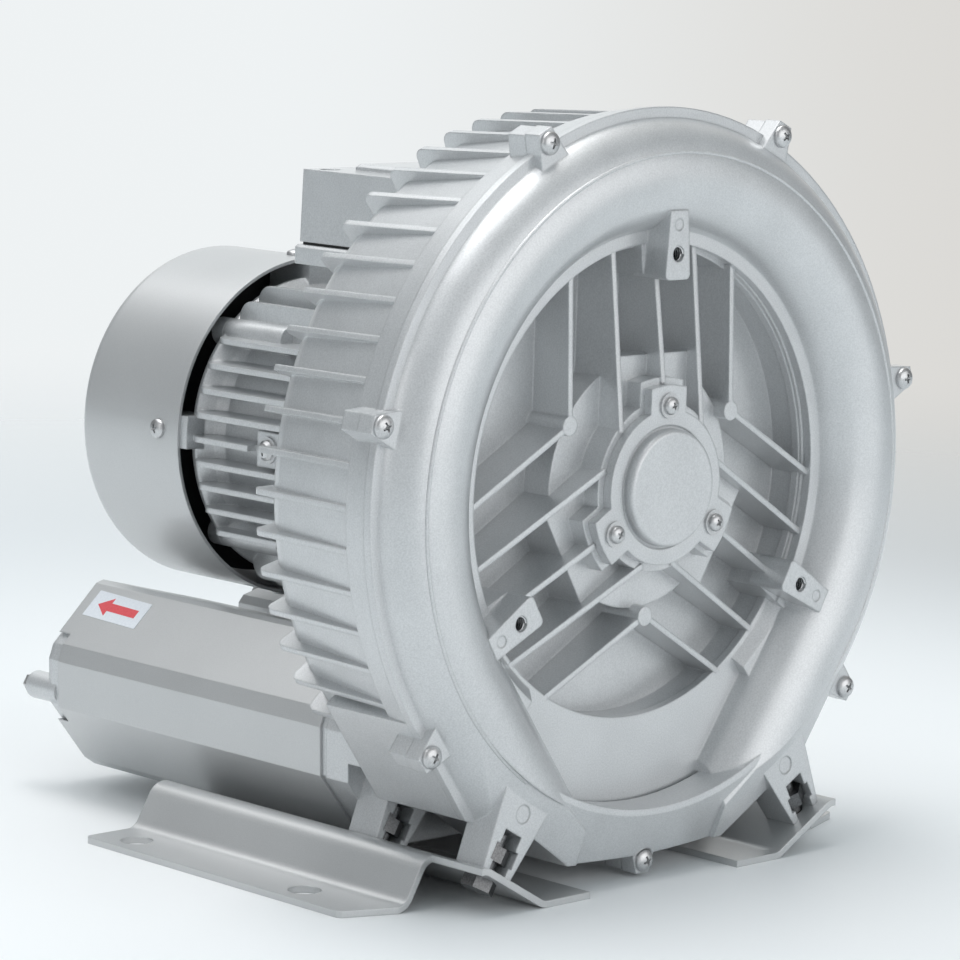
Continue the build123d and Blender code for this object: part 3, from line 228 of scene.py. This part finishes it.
dress(["cover", "housing", "bearing_cap", "motor_frame", "end_shield", "silencer_cap_left",
       "silencer_cap_right", "terminal_box_base", "terminal_box_lid"], castPaint)
dress(["fan_cowl", "silencer_shell_left", "silencer_shell_right", "foot_bracket_left",
       "foot_bracket_right"], sheetPaint)
dress(["rim_screws", "cap_screws", "cap_washers", "cowl_screws", "lid_screws", "earth_screw", "shield_screws",
       "motor_bolts", "silencer_bolts"], zincPlate)
dress(["foot_bolts", "foot_nuts"], darkZinc)
dress(["motor_shaft", "impeller_key", "impeller_spacer", "front_bearing_inner", "front_bearing_outer",
       "front_bearing_balls", "rear_bearing_inner", "rear_bearing_outer", "rear_bearing_balls", "wave_spring",
       "fan_clip"], groundSteel)
dress(["impeller"], bareCasting)
dress(["stator_core", "rotor_core"], stackedIron)
dress(["stator_windings"], copperWire)
dress(["front_seal", "rear_seal", "terminal_box_gasket"], blackRubber)
dress(["cooling_fan", "terminal_block"], blackPlastic)
dress(["cable_gland"], greyPlastic)
dress(["silencer_liner_left", "silencer_liner_right"], foamFill)

print("stage: fasteners")
# fasteners

# where the shaft line meets the joint face, in the frame's y and z, in millimetres
rowY = -109.35
rowZ = 171.5
forward = (0, -1, 0)
thirds = (90.0, 210.0, 330.0)


def local(x, y, z):
    # a point given in millimetres from the shaft line and the joint face
    return Vector((x * mm, (y + rowY) * mm, (z + rowZ) * mm))


def onCircle(radius, degrees, y):
    angle = math.radians(degrees)
    return local(radius * math.cos(angle), y, radius * math.sin(angle))


def facing(direction, point, turn=0.0):
    # the turn is about the piece's own Z, before Z is aimed along the direction
    aim = Vector(direction).normalized().to_track_quat("Z", "Y").to_matrix().to_4x4()
    return Matrix.Translation(point) @ aim @ Matrix.Rotation(math.radians(turn), 4, "Z")


def applyPlace(piece):
    only(piece)
    bpy.ops.object.transform_apply(location=True, rotation=True, scale=True)


def addRod(radius, low, high):
    deselectAll()
    bpy.ops.mesh.primitive_cylinder_add(vertices=24, radius=radius * mm, depth=(high - low) * mm,
                                        location=(0, 0, (low + high) / 2 * mm))
    piece = bpy.context.active_object
    applyPlace(piece)
    return piece


def addBox(size, centre):
    deselectAll()
    bpy.ops.mesh.primitive_cube_add(size=1.0, location=[c * mm for c in centre])
    piece = bpy.context.active_object
    piece.scale = [s * mm for s in size]
    applyPlace(piece)
    return piece


def joinAll(pieces, name):
    only(pieces[0])
    for piece in pieces:
        piece.select_set(True)
    bpy.ops.object.join()
    whole = bpy.context.active_object
    whole.name = name
    whole.data.name = name
    return whole


def cutAway(piece, cutters):
    for cutter in cutters:
        cut = piece.modifiers.new("cut", "BOOLEAN")
        cut.operation = "DIFFERENCE"
        cut.solver = "EXACT"
        cut.object = cutter
        only(piece)
        bpy.ops.object.modifier_apply(modifier=cut.name)
        bpy.data.objects.remove(cutter)


def smoothByAngle(piece, degrees):
    only(piece)
    bpy.ops.object.shade_smooth_by_angle(angle=math.radians(degrees))


def settle(piece, name, body, slot, material, *stands):
    piece.name = name
    piece.data.name = name
    piece.data.materials.clear()
    piece.data.materials.append(material)
    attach(piece, body)
    if stands:
        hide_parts(*stands)


def copiesAt(master, name, places):
    copies = []
    for place in places:
        copy = master.copy()
        copy.data = master.data.copy()
        bpy.context.collection.objects.link(copy)
        copy.matrix_world = place
        applyPlace(copy)
        copies.append(copy)
    return joinAll(copies, name)


crossRecess = {
    "bevelAt": 0.5,
    "bevelTo": 0.45,
    "bowlRadius": 0.95,
    "bowlDepth": 0.8,
    "above": 0.2,
}


def halve(piece, height, keepAbove):
    # keeps the part of a piece above or below a level in Z
    bpy.ops.object.mode_set(mode="EDIT")
    bpy.ops.mesh.select_all(action="SELECT")
    bpy.ops.mesh.bisect(plane_co=(0, 0, height * mm), plane_no=(0, 0, 1), clear_inner=keepAbove,
                        clear_outer=not keepAbove, use_fill=not keepAbove)


def buildDome(look):
    deselectAll()
    bpy.ops.mesh.primitive_uv_sphere_add(segments=48, ring_count=32, radius=1.0)
    dome = bpy.context.active_object
    dome.scale = (look["radius"] * mm, look["radius"] * mm, look["dome"] * mm)
    applyPlace(dome)
    halve(dome, 0, True)
    bpy.ops.mesh.extrude_region_move(TRANSFORM_OT_translate={"value": (0, 0, -look["rim"] * mm)})
    bpy.ops.mesh.edge_face_add()
    bpy.ops.object.mode_set(mode="OBJECT")
    dome.location.z = look["rim"] * mm
    applyPlace(dome)
    return dome


def buildBlade(look, size, top):
    # one arm of the cross, narrower at its bottom
    blade = addBox((*size, look["sink"] * 2), (0, 0, top))
    halve(blade, top + crossRecess["above"], False)
    bpy.ops.object.mode_set(mode="OBJECT")
    for vertex in blade.data.vertices:
        if vertex.co.z < (top - crossRecess["bevelAt"] * look["sink"]) * mm:
            vertex.co.x *= crossRecess["bevelTo"]
            vertex.co.y *= crossRecess["bevelTo"]
    return blade


def buildPanScrew(look):
    # seat of the head at z = 0, its top towards +Z
    head = buildDome(look)
    top = look["rim"] + look["dome"]
    arm, web = look["arm"], look["web"]
    cutters = [buildBlade(look, size, top) for size in ((arm, web), (web, arm))]
    bottom = top - look["sink"] * crossRecess["bowlDepth"]
    cutters.append(addRod(web * crossRecess["bowlRadius"], bottom, top + 1))
    cutAway(head, cutters)
    # the shank ends inside the head's rim
    shank = addRod(look["shank"], -look["length"], look["rim"] * 0.5)
    screw = joinAll([head, shank], "panScrew")
    smoothByAngle(screw, 32.0)
    return screw


def settleCopies(master, name, slot, material, places, *stands):
    settle(copiesAt(master, name, places), name, "machine", slot, material, *stands)
    bpy.data.objects.remove(master)


rimScrew = {
    "radius": 5.0, "dome": 2.5, "rim": 0.7, "arm": 5.2, "web": 1.15, "sink": 1.9, "shank": 1.9,
    "length": 16.0, "count": 7, "circle": 164.0, "seat": -8.5, "firstTurn": 20.0, "turnStep": 37.0}
rimPlaces = []
for i in range(rimScrew["count"]):
    point = onCircle(rimScrew["circle"], 270.0 + 360.0 / rimScrew["count"] * i, rimScrew["seat"])
    rimPlaces.append(facing(forward, point, rimScrew["firstTurn"] + rimScrew["turnStep"] * i))
settleCopies(buildPanScrew(rimScrew), "rimScrewSet", "zinc", zincPlate, rimPlaces, "rim_screws")

capScrew = {
    "radius": 3.9, "dome": 2.1, "rim": 0.6, "arm": 4.0, "web": 1.0, "sink": 1.6, "shank": 1.95,
    "length": 16.0, "circle": 35.2, "seat": -15.3, "firstTurn": 15.0, "turnStep": 50.0}
capPlaces = []
for i, degrees in enumerate(thirds):
    point = onCircle(capScrew["circle"], degrees, capScrew["seat"])
    capPlaces.append(facing(forward, point, capScrew["firstTurn"] + capScrew["turnStep"] * i))
settleCopies(buildPanScrew(capScrew), "capScrewSet", "zinc", zincPlate, capPlaces, "cap_screws")

cowlScrew = {
    "radius": 4.6, "dome": 2.1, "rim": 0.6, "arm": 4.8, "web": 1.1, "sink": 1.6, "shank": 1.95,
    "length": 12.0, "circle": 78.9, "depth": 230.5, "ahead": -1.9, "firstTurn": 25.0, "turnStep": 40.0}
cowlPlaces = []
for side in range(4):
    degrees = 90.0 * side + cowlScrew["ahead"]
    angle = math.radians(degrees)
    point = onCircle(cowlScrew["circle"], degrees, cowlScrew["depth"])
    turn = cowlScrew["firstTurn"] + cowlScrew["turnStep"] * side
    cowlPlaces.append(facing((math.cos(angle), 0, math.sin(angle)), point, turn))
settleCopies(buildPanScrew(cowlScrew), "cowlScrewSet", "zinc", zincPlate, cowlPlaces, "cowl_screws")

lidScrew = {
    "radius": 4.2, "dome": 2.0, "rim": 0.6, "arm": 4.4, "web": 1.0, "sink": 1.5, "shank": 1.95,
    "length": 33.0, "sides": (-45.0, 45.0), "depths": (93.0, 155.0), "seat": 121.6, "firstTurn": 12.0}
lidPlaces = []
for x in lidScrew["sides"]:
    for y in lidScrew["depths"]:
        turn = lidScrew["firstTurn"] + x + 0.5 * y
        lidPlaces.append(facing((0, 0, 1), local(x, y, lidScrew["seat"]), turn))
settleCopies(buildPanScrew(lidScrew), "lidScrewSet", "zinc", zincPlate, lidPlaces, "lid_screws")

print("stage: threads")
# threads in the three lugs on the cover's face


def buildThread(look):
    # V-shaped ridge turned around +Z, from below z = 0 downwards
    deselectAll()
    bpy.ops.mesh.primitive_circle_add(vertices=3, radius=look["ridge"] * look["pitch"] * mm)
    ridge = bpy.context.active_object
    ridge.rotation_euler = (math.radians(90), 0, 0)
    ridge.location = (look["radius"] * mm, 0, -look["start"] * mm)
    applyPlace(ridge)
    screw = ridge.modifiers.new("turns", "SCREW")
    screw.axis = "Z"
    screw.angle = 2 * math.pi
    screw.screw_offset = -look["pitch"] * mm
    screw.iterations = look["turns"]
    screw.steps = look["steps"]
    screw.render_steps = look["steps"]
    only(ridge)
    bpy.ops.object.modifier_apply(modifier=screw.name)
    return ridge


lugThread = {
    "radius": 3.15, "pitch": 1.25, "ridge": 0.6, "start": 0.9, "turns": 12, "steps": 24,
    "circle": 100.0, "seat": -16.7}
threadPlaces = []
for degrees in thirds:
    threadPlaces.append(facing(forward, onCircle(lugThread["circle"], degrees, lugThread["seat"])))
settleCopies(buildThread(lugThread), "lugThreads", "bare_aluminium", groundSteel, threadPlaces)

print("stage: crease")
# crisp cast edge along the cover's ring, between its outer and inner slopes

crease = {
    "radius": 143.2,
    "depth": -18.1,
    "bead": 0.9,
    "openHalf": 35.0,
    "around": 360,
    "across": 12,
}


def buildCrease():
    deselectAll()
    bpy.ops.mesh.primitive_torus_add(major_radius=crease["radius"] * mm, minor_radius=crease["bead"] * mm,
                                     major_segments=crease["around"], minor_segments=crease["across"])
    bead = bpy.context.active_object
    bead.matrix_world = facing(forward, local(0, crease["depth"], 0))
    applyPlace(bead)
    # the foot of the ring, where the chin takes over, stays open
    bpy.ops.object.mode_set(mode="EDIT")
    bpy.ops.mesh.select_all(action="DESELECT")
    bpy.ops.object.mode_set(mode="OBJECT")
    for vertex in bead.data.vertices:
        turn = math.degrees(math.atan2(vertex.co.x, rowZ * mm - vertex.co.z))
        vertex.select = abs(turn) < crease["openHalf"]
    bpy.ops.object.mode_set(mode="EDIT")
    bpy.ops.mesh.delete(type="VERT")
    bpy.ops.mesh.select_all(action="DESELECT")
    bpy.ops.mesh.select_non_manifold()
    bpy.ops.mesh.edge_face_add()
    bpy.ops.object.mode_set(mode="OBJECT")
    smoothByAngle(bead, 60.0)
    settle(bead, "ringCrease", "machine", "cast", castPaint)


buildCrease()

print("stage: flow label")
# flow label

label = {
    "centreY": 248.0,
    "length": 38.9,
    "width": 14.7,
    "thick": 0.18,
    "corner": (-104.0, -100.0),
    "top": (-78.5, -75.0),
    "along": 0.677,
    "turn": -2.0,
    "arrowLength": 28.8,
    "arrowThick": 0.06,
    "shaftWidth": 4.5,
    "headWidth": 10.3,
    "headLength": 8.6,
}


def buildFlowLabel():
    # the label lies on the shell's slope, which rises from its corner to its top in x and z
    low = Vector((label["corner"][0], 0, label["corner"][1]))
    high = Vector((label["top"][0], 0, label["top"][1]))
    rise = (high - low).normalized()
    out = Vector((-rise.z, 0, rise.x))
    middle = low.lerp(high, label["along"])
    point = local(middle.x, label["centreY"], middle.z)
    # columns: along the shell to the rear, up the slope, outwards
    turn = Matrix(((0, -rise.x, out.x), (1, 0, 0), (0, -rise.z, out.z))).to_4x4()
    place = Matrix.Translation(point) @ turn @ Matrix.Rotation(math.radians(label["turn"]), 4, "Z")
    plate = addBox((label["length"], label["width"], label["thick"]), (0, 0, label["thick"] / 2))
    plate.matrix_world = place
    applyPlace(plate)
    settle(plate, "flowLabel", "machine", "gland_plastic", labelWhite)
    half = label["arrowLength"] / 2
    shaft = label["shaftWidth"] / 2
    head = label["headWidth"] / 2
    neck = half - label["headLength"]
    outline = [(-half, -shaft), (neck, -shaft), (neck, -head), (half, 0), (neck, head), (neck, shaft),
               (-half, shaft)]
    deselectAll()
    bpy.ops.mesh.primitive_circle_add(vertices=len(outline), radius=mm, fill_type="NGON")
    arrow = bpy.context.active_object
    for vertex, (x, y) in zip(arrow.data.vertices, outline):
        vertex.co = (x * mm, y * mm, 0)
    bpy.ops.object.mode_set(mode="EDIT")
    bpy.ops.mesh.select_all(action="SELECT")
    bpy.ops.mesh.extrude_region_move(TRANSFORM_OT_translate={"value": (0, 0, label["arrowThick"] * mm)})
    bpy.ops.object.mode_set(mode="OBJECT")
    arrow.matrix_world = place @ Matrix.Translation((0, 0, label["thick"] * mm))
    applyPlace(arrow)
    settle(arrow, "flowArrow", "machine", "gland_plastic", arrowRed)


labelWhite = grainFinish("labelWhite", {
    "Grain Size": 900.0, "Mottle Size": 40.0, "Roughness": 0.4, "Roughness Spread": 0.03,
    "dark": (0.70, 0.71, 0.75), "light": (0.76, 0.77, 0.80), "bump": 0.02, "bumpDepth": 0.0001,
    "edgeRadius": 0.0, "sockets": {"Metallic": 0.0}})
arrowRed = grainFinish("arrowRed", {
    "Grain Size": 900.0, "Mottle Size": 40.0, "Roughness": 0.4, "Roughness Spread": 0.03,
    "dark": (0.68, 0.065, 0.08), "light": (0.74, 0.09, 0.10), "bump": 0.02, "bumpDepth": 0.0001,
    "edgeRadius": 0.0, "sockets": {"Metallic": 0.0}})
buildFlowLabel()

print("stage: studio")
# studio

studio = {
    "floorSize": 9.0,
    "floorSockets": {"Roughness": 0.5, "Specular IOR Level": 0.3},
    # the far floor colours below are painted shade: the floor is drawn darker away from the object, and
    # darker still on the right
    "floorShadeFrom": 0.35,
    "floorShadeTo": 0.95,
    "floorFadeFrom": 0.55,
    "floorFadeTo": 1.9,
    "floorColor": (0.85, 0.845, 0.845),
    "farFloorShadeLeft": (0.72, 0.73, 0.74),
    "farFloorShadeRight": (0.56, 0.56, 0.565),
    "leftBack": (0.86, 0.89, 0.90),
    "rightBack": (0.71, 0.70, 0.675),
    "roomBack": (0.54, 0.55, 0.56),
    "sideBack": (0.25, 0.255, 0.26),
    "fillColor": (0.78, 0.93, 1.0),
    "worldFill": 0.54,
    "floorShadeSlope": (-0.6, 0.6),
    "backSlope": (-0.06, 0.13),
    "roomSlope": (-0.4, 0.7),
    "sideSlope": (0.15, 0.75),
}
photoView = {
    "azimuth": -44.055,
    "elevation": 8.213,
    "roll": 1.708,
    "lens": 152.49,
    "sensor": 36.0,
    "farClip": 50.0,
    "place": (-1.2510, -1.3023, 0.4201),
}
turned = math.radians(photoView["azimuth"])
toRight = Vector((math.cos(turned), math.sin(turned), 0))
toCamera = Vector((math.sin(turned), -math.cos(turned), 0))


def fadeMask(tree, value, low, high):
    # from 0 at low to 1 at high
    fade = tree.nodes.new("ShaderNodeMapRange")
    fade.interpolation_type = "SMOOTHSTEP"
    fade.inputs["From Min"].default_value = low
    fade.inputs["From Max"].default_value = high
    tree.links.new(value, fade.inputs["Value"])
    return fade.outputs["Result"]


def slopeMask(tree, direction, along, low, high):
    # how far a direction or place lies along an axis
    dot = tree.nodes.new("ShaderNodeVectorMath")
    dot.operation = "DOT_PRODUCT"
    tree.links.new(direction, dot.inputs[0])
    dot.inputs[1].default_value = along
    return fadeMask(tree, dot.outputs["Value"], low, high)


def buildFloor():
    # for the camera the floor turns to a painted shade further out, darker on the right, and then fades into
    # the backdrop
    deselectAll()
    bpy.ops.mesh.primitive_circle_add(vertices=64, radius=studio["floorSize"] / 2, fill_type="NGON")
    floor = bpy.context.active_object
    floor.name = "floor"
    material, tree, shader = newMaterial("paleFloor")
    setSockets(shader, studio["floorSockets"])
    camera = tree.nodes.new("ShaderNodeLightPath").outputs["Is Camera Ray"]
    place = tree.nodes.new("ShaderNodeTexCoord").outputs["Object"]
    length = tree.nodes.new("ShaderNodeVectorMath")
    length.operation = "LENGTH"
    tree.links.new(place, length.inputs[0])
    distance = length.outputs["Value"]
    # painted shade on the floor, seen by the camera only: darker further out and darker on the right
    floorShadeMask = mathNode(tree, "MULTIPLY", fadeMask(tree, distance, studio["floorShadeFrom"], studio["floorShadeTo"]), camera)
    right = slopeMask(tree, place, toRight, *studio["floorShadeSlope"])
    paintedFloorShade = mixColors(tree, right, studio["farFloorShadeLeft"], studio["farFloorShadeRight"])
    tree.links.new(mixColors(tree, floorShadeMask, studio["floorColor"], paintedFloorShade), shader.inputs["Base Color"])
    fade = fadeMask(tree, distance, studio["floorFadeFrom"], studio["floorFadeTo"])
    clear = tree.nodes.new("ShaderNodeBsdfTransparent")
    mix = tree.nodes.new("ShaderNodeMixShader")
    tree.links.new(mathNode(tree, "MULTIPLY", fade, camera), mix.inputs[0])
    tree.links.new(shader.outputs[0], mix.inputs[1])
    tree.links.new(clear.outputs[0], mix.inputs[2])
    tree.links.new(mix.outputs[0], tree.nodes["Material Output"].inputs["Surface"])
    floor.data.materials.append(material)


def buildWorld():
    # the backdrop is paler on the left, and darker to both sides and behind the camera
    world = bpy.data.worlds.new("studioWorld")
    bpy.context.scene.world = world
    world.use_nodes = True
    tree = world.node_tree
    tree.nodes.clear()
    path = tree.nodes.new("ShaderNodeLightPath").outputs
    seen = mathNode(tree, "MAXIMUM", path["Is Camera Ray"], path["Is Glossy Ray"])
    seen = mathNode(tree, "MAXIMUM", seen, path["Is Transmission Ray"])
    fill = tree.nodes.new("ShaderNodeBackground")
    fill.inputs["Color"].default_value = (*studio["fillColor"], 1)
    fill.inputs["Strength"].default_value = studio["worldFill"]
    ray = tree.nodes.new("ShaderNodeTexCoord").outputs["Generated"]
    right = slopeMask(tree, ray, toRight, *studio["backSlope"])
    behind = slopeMask(tree, ray, toCamera, *studio["roomSlope"])
    leftSide = slopeMask(tree, ray, -toRight, *studio["sideSlope"])
    rightSide = slopeMask(tree, ray, toRight, *studio["sideSlope"])
    sides = mathNode(tree, "MAXIMUM", leftSide, rightSide)
    wall = mixColors(tree, right, studio["leftBack"], studio["rightBack"])
    wall = mixColors(tree, sides, wall, studio["sideBack"])
    back = tree.nodes.new("ShaderNodeBackground")
    tree.links.new(mixColors(tree, behind, wall, studio["roomBack"]), back.inputs["Color"])
    back.inputs["Strength"].default_value = 1.0
    mix = tree.nodes.new("ShaderNodeMixShader")
    tree.links.new(seen, mix.inputs[0])
    tree.links.new(fill.outputs[0], mix.inputs[1])
    tree.links.new(back.outputs[0], mix.inputs[2])
    output = tree.nodes.new("ShaderNodeOutputWorld")
    tree.links.new(mix.outputs[0], output.inputs["Surface"])


lamps = {
    "ceilingSoftbox": {"place": (-0.6, 1.0, 2.7), "aim": (-0.4, 0.6, 0), "size": (3.4, 2.8), "power": 42.0},
    "topSoftbox": {"place": (-0.1, 0.1, 2.7), "aim": (0, 0, 0.15), "size": (1.4, 1.0), "power": 20.0},
    "frontSoftbox": {"place": (0.6, -2.6, 0.9), "aim": (0, 0, 0.15), "size": (3.4, 1.8), "power": 23.0},
    "leftStrip": {"place": (-2.1, -0.1, 0.9), "aim": (0, 0, 0.15), "size": (0.25, 1.2), "power": 2.5},
}


def buildLamps():
    for name, look in lamps.items():
        light = bpy.data.lights.new(name, "AREA")
        light.shape = "RECTANGLE"
        light.size, light.size_y = look["size"]
        light.energy = look["power"]
        lamp = bpy.data.objects.new(name, light)
        bpy.context.collection.objects.link(lamp)
        lamp.location = look["place"]
        towards = Vector(look["aim"]) - Vector(look["place"])
        lamp.rotation_euler = towards.to_track_quat("-Z", "Y").to_euler()


def buildCamera():
    elevation = math.radians(photoView["elevation"])
    roll = math.radians(photoView["roll"])
    back = math.cos(elevation) * toCamera + Vector((0, 0, math.sin(elevation)))
    up = back.cross(toRight)
    turnedRight = math.cos(roll) * toRight + math.sin(roll) * up
    turnedUp = math.cos(roll) * up - math.sin(roll) * toRight
    lens = bpy.data.cameras.new("photoCamera")
    lens.lens = photoView["lens"]
    lens.sensor_width = photoView["sensor"]
    lens.clip_end = photoView["farClip"]
    camera = bpy.data.objects.new("photoCamera", lens)
    bpy.context.collection.objects.link(camera)
    turn = Matrix((turnedRight, turnedUp, back)).transposed().to_4x4()
    camera.matrix_world = Matrix.Translation(photoView["place"]) @ turn
    bpy.context.scene.camera = camera


buildFloor()
buildWorld()
buildLamps()
buildCamera()
bpy.context.scene.view_settings.view_transform = "Standard"
